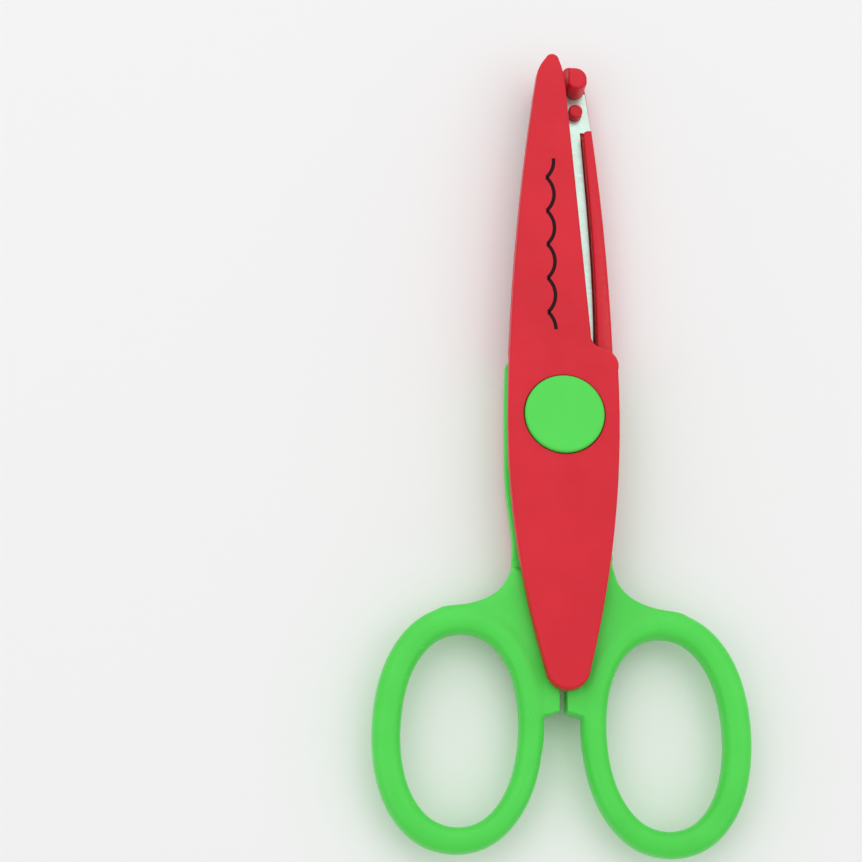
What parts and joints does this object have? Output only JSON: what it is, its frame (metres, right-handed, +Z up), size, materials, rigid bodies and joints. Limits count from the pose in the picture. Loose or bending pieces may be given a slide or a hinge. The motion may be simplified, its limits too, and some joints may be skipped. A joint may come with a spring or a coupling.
{
  "type": "decorative edge scissors",
  "caption": "Craft scissors with corrugated steel blades in red moulded covers, green handles with oval finger rings, and a capped pivot.",
  "frame": {"origin": "on the pivot axis, at the flat outer face of the lower cap", "axes": "+Y towards the tip along the closing line, +X towards the right handle, +Z up out of the upper cap along the pivot"},
  "size_m": [0.0742, 0.165, 0.012],
  "materials": {
    "red_plastic": "satin moulded ABS",
    "green_plastic": "smooth moulded polypropylene",
    "cap_green": "smooth moulded polypropylene",
    "blade_steel": "ground stainless",
    "pivot_steel": "turned steel",
    "spring_steel": "hardened spring steel"
  },
  "bodies": {
    "lower_half": {"lower_cover": "red_plastic", "lower_blade": "blade_steel", "left_handle": "green_plastic", "lower_cap": "cap_green", "pivot_screw": "pivot_steel", "pivot_nut": "pivot_steel", "upper_washer": "pivot_steel", "lower_washer": "pivot_steel", "disc_spring": "spring_steel"},
    "upper_half": {"upper_cover": "red_plastic", "upper_blade": "blade_steel", "right_handle": "green_plastic", "upper_cap": "cap_green"}
  },
  "joints": [
    {"name": "pivot", "type": "hinge", "parent": "lower_half", "child": "upper_half", "pos_m": [0, 0, 0.006], "axis": [0, 0, 1], "range_deg": [-0.4, 60]}
  ]
}
